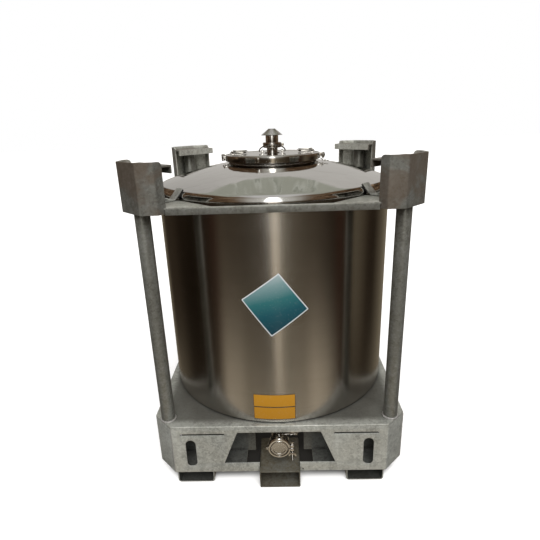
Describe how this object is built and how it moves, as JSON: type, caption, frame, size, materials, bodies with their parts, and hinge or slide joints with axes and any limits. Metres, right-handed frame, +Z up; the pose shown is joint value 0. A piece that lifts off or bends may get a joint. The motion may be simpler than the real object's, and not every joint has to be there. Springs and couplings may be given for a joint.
{
  "type": "intermediate bulk container",
  "caption": "Round stainless steel tank in a square galvanised stacking frame, with a clamped top lid, relief valve, hold-down clips and a capped bottom outlet.",
  "frame": {"origin": "centre of the square footprint, on the floor under the runners", "axes": "+Z up, -Y to the front where the outlet is, +X to the right seen from the front"},
  "size_m": [1.16, 1.179, 1.536],
  "materials": {
    "galvanised": "hot-dip galvanised, dull spangle",
    "galvanised_dark": "hot-dip galvanised, weathered grey",
    "brushed_stainless": "ground along the circumference",
    "polished_stainless": "mirror polished stainless steel",
    "rubber": "matt black",
    "label_film": "plain printed film, only on visual pieces"
  },
  "bodies": {
    "frame_and_tank": {"deck_plate": "galvanised", "skirt_front": "galvanised", "skirt_right": "galvanised", "skirt_rear": "galvanised", "skirt_left": "galvanised", "runner_right": "galvanised", "runner_left": "galvanised", "centre_foot": "galvanised", "cross_beam_front": "galvanised", "cross_beam_rear": "galvanised", "post_rear_right": "galvanised", "corner_head_rear_right": "galvanised_dark", "stack_seat_rear_right": "galvanised_dark", "hold_down_clip_rear_right": "galvanised", "clip_pad_rear_right": "rubber", "post_rear_left": "galvanised", "corner_head_rear_left": "galvanised_dark", "stack_seat_rear_left": "galvanised_dark", "hold_down_clip_rear_left": "galvanised", "clip_pad_rear_left": "rubber", "post_front_left": "galvanised", "corner_head_front_left": "galvanised_dark", "stack_seat_front_left": "galvanised_dark", "hold_down_clip_front_left": "galvanised", "clip_pad_front_left": "rubber", "post_front_right": "galvanised", "corner_head_front_right": "galvanised_dark", "stack_seat_front_right": "galvanised_dark", "hold_down_clip_front_right": "galvanised", "clip_pad_front_right": "rubber", "top_ring": "galvanised", "seat_ring": "rubber", "tank_shell": "brushed_stainless", "bottom_dish": "brushed_stainless", "top_dish": "polished_stainless", "manhole_neck": "polished_stainless", "outlet_pipe": "brushed_stainless", "outlet_valve_body": "polished_stainless", "outlet_seat": "rubber"},
    "lid": {"lid": "polished_stainless", "lid_gasket": "rubber", "relief_base": "polished_stainless", "relief_body": "polished_stainless", "relief_clamp": "polished_stainless", "relief_hood": "brushed_stainless", "relief_spring": "polished_stainless"},
    "lid_handle_right": {"lid_handle_right": "polished_stainless"},
    "lid_handle_left": {"lid_handle_left": "polished_stainless"},
    "bail": {"bail_handle": "polished_stainless"},
    "clamp_front": {"clamp_ring_front": "polished_stainless", "retaining_chain": "polished_stainless"},
    "clamp_rear": {"clamp_ring_rear": "polished_stainless"},
    "clamp_screw": {"clamp_screw": "polished_stainless"},
    "relief_poppet": {"relief_poppet": "brushed_stainless"},
    "outlet_valve": {"outlet_disc": "polished_stainless", "outlet_lever": "polished_stainless"},
    "outlet_cap": {"outlet_cap": "polished_stainless", "outlet_gasket": "rubber", "outlet_clamp": "polished_stainless"},
    "outlet_nut": {"outlet_clamp_nut": "polished_stainless"}
  },
  "joints": [
    {"name": "lid_lift", "type": "slide", "parent": "frame_and_tank", "child": "lid", "axis": [0, 0, 1], "range_m": [0, 0.2]},
    {"name": "lid_handle_right_fold", "type": "hinge", "parent": "lid", "child": "lid_handle_right", "pos_m": [0.187, 0, 1.436], "axis": [0, 1, 0], "range_deg": [0, 90]},
    {"name": "lid_handle_left_fold", "type": "hinge", "parent": "lid", "child": "lid_handle_left", "pos_m": [-0.187, 0, 1.436], "axis": [0, -1, 0], "range_deg": [0, 90]},
    {"name": "bail_fold", "type": "hinge", "parent": "lid", "child": "bail", "pos_m": [0, 0, 1.434], "axis": [1, 0, 0], "range_deg": [0, 30]},
    {"name": "clamp_front_open", "type": "hinge", "parent": "lid", "child": "clamp_front", "pos_m": [-0.236, 0, 1.412], "axis": [0, 0, -1], "range_deg": [0, 40]},
    {"name": "clamp_rear_open", "type": "hinge", "parent": "lid", "child": "clamp_rear", "pos_m": [-0.236, 0, 1.412], "axis": [0, 0, 1], "range_deg": [0, 40]},
    {"name": "clamp_screw_turn", "type": "hinge", "parent": "clamp_front", "child": "clamp_screw", "pos_m": [0.24, -0.02, 1.412], "axis": [0, 1, 0], "continuous": true},
    {"name": "relief_lift", "type": "slide", "parent": "lid", "child": "relief_poppet", "axis": [0, 0, 1], "range_m": [0, 0.008], "stiffness_N_per_m": 2000, "springref_m": -0.015, "deforming": ["relief_spring"]},
    {"name": "outlet_valve_turn", "type": "hinge", "parent": "frame_and_tank", "child": "outlet_valve", "pos_m": [0, -0.53, 0.19], "axis": [0, 0, 1], "range_deg": [0, 90]},
    {"name": "outlet_cap_off", "type": "slide", "parent": "frame_and_tank", "child": "outlet_cap", "axis": [0, -1, 0], "range_m": [0, 0.1]},
    {"name": "outlet_nut_turn", "type": "hinge", "parent": "outlet_cap", "child": "outlet_nut", "pos_m": [0.058, -0.56, 0.157], "axis": [0, 0, 1], "continuous": true}
  ]
}
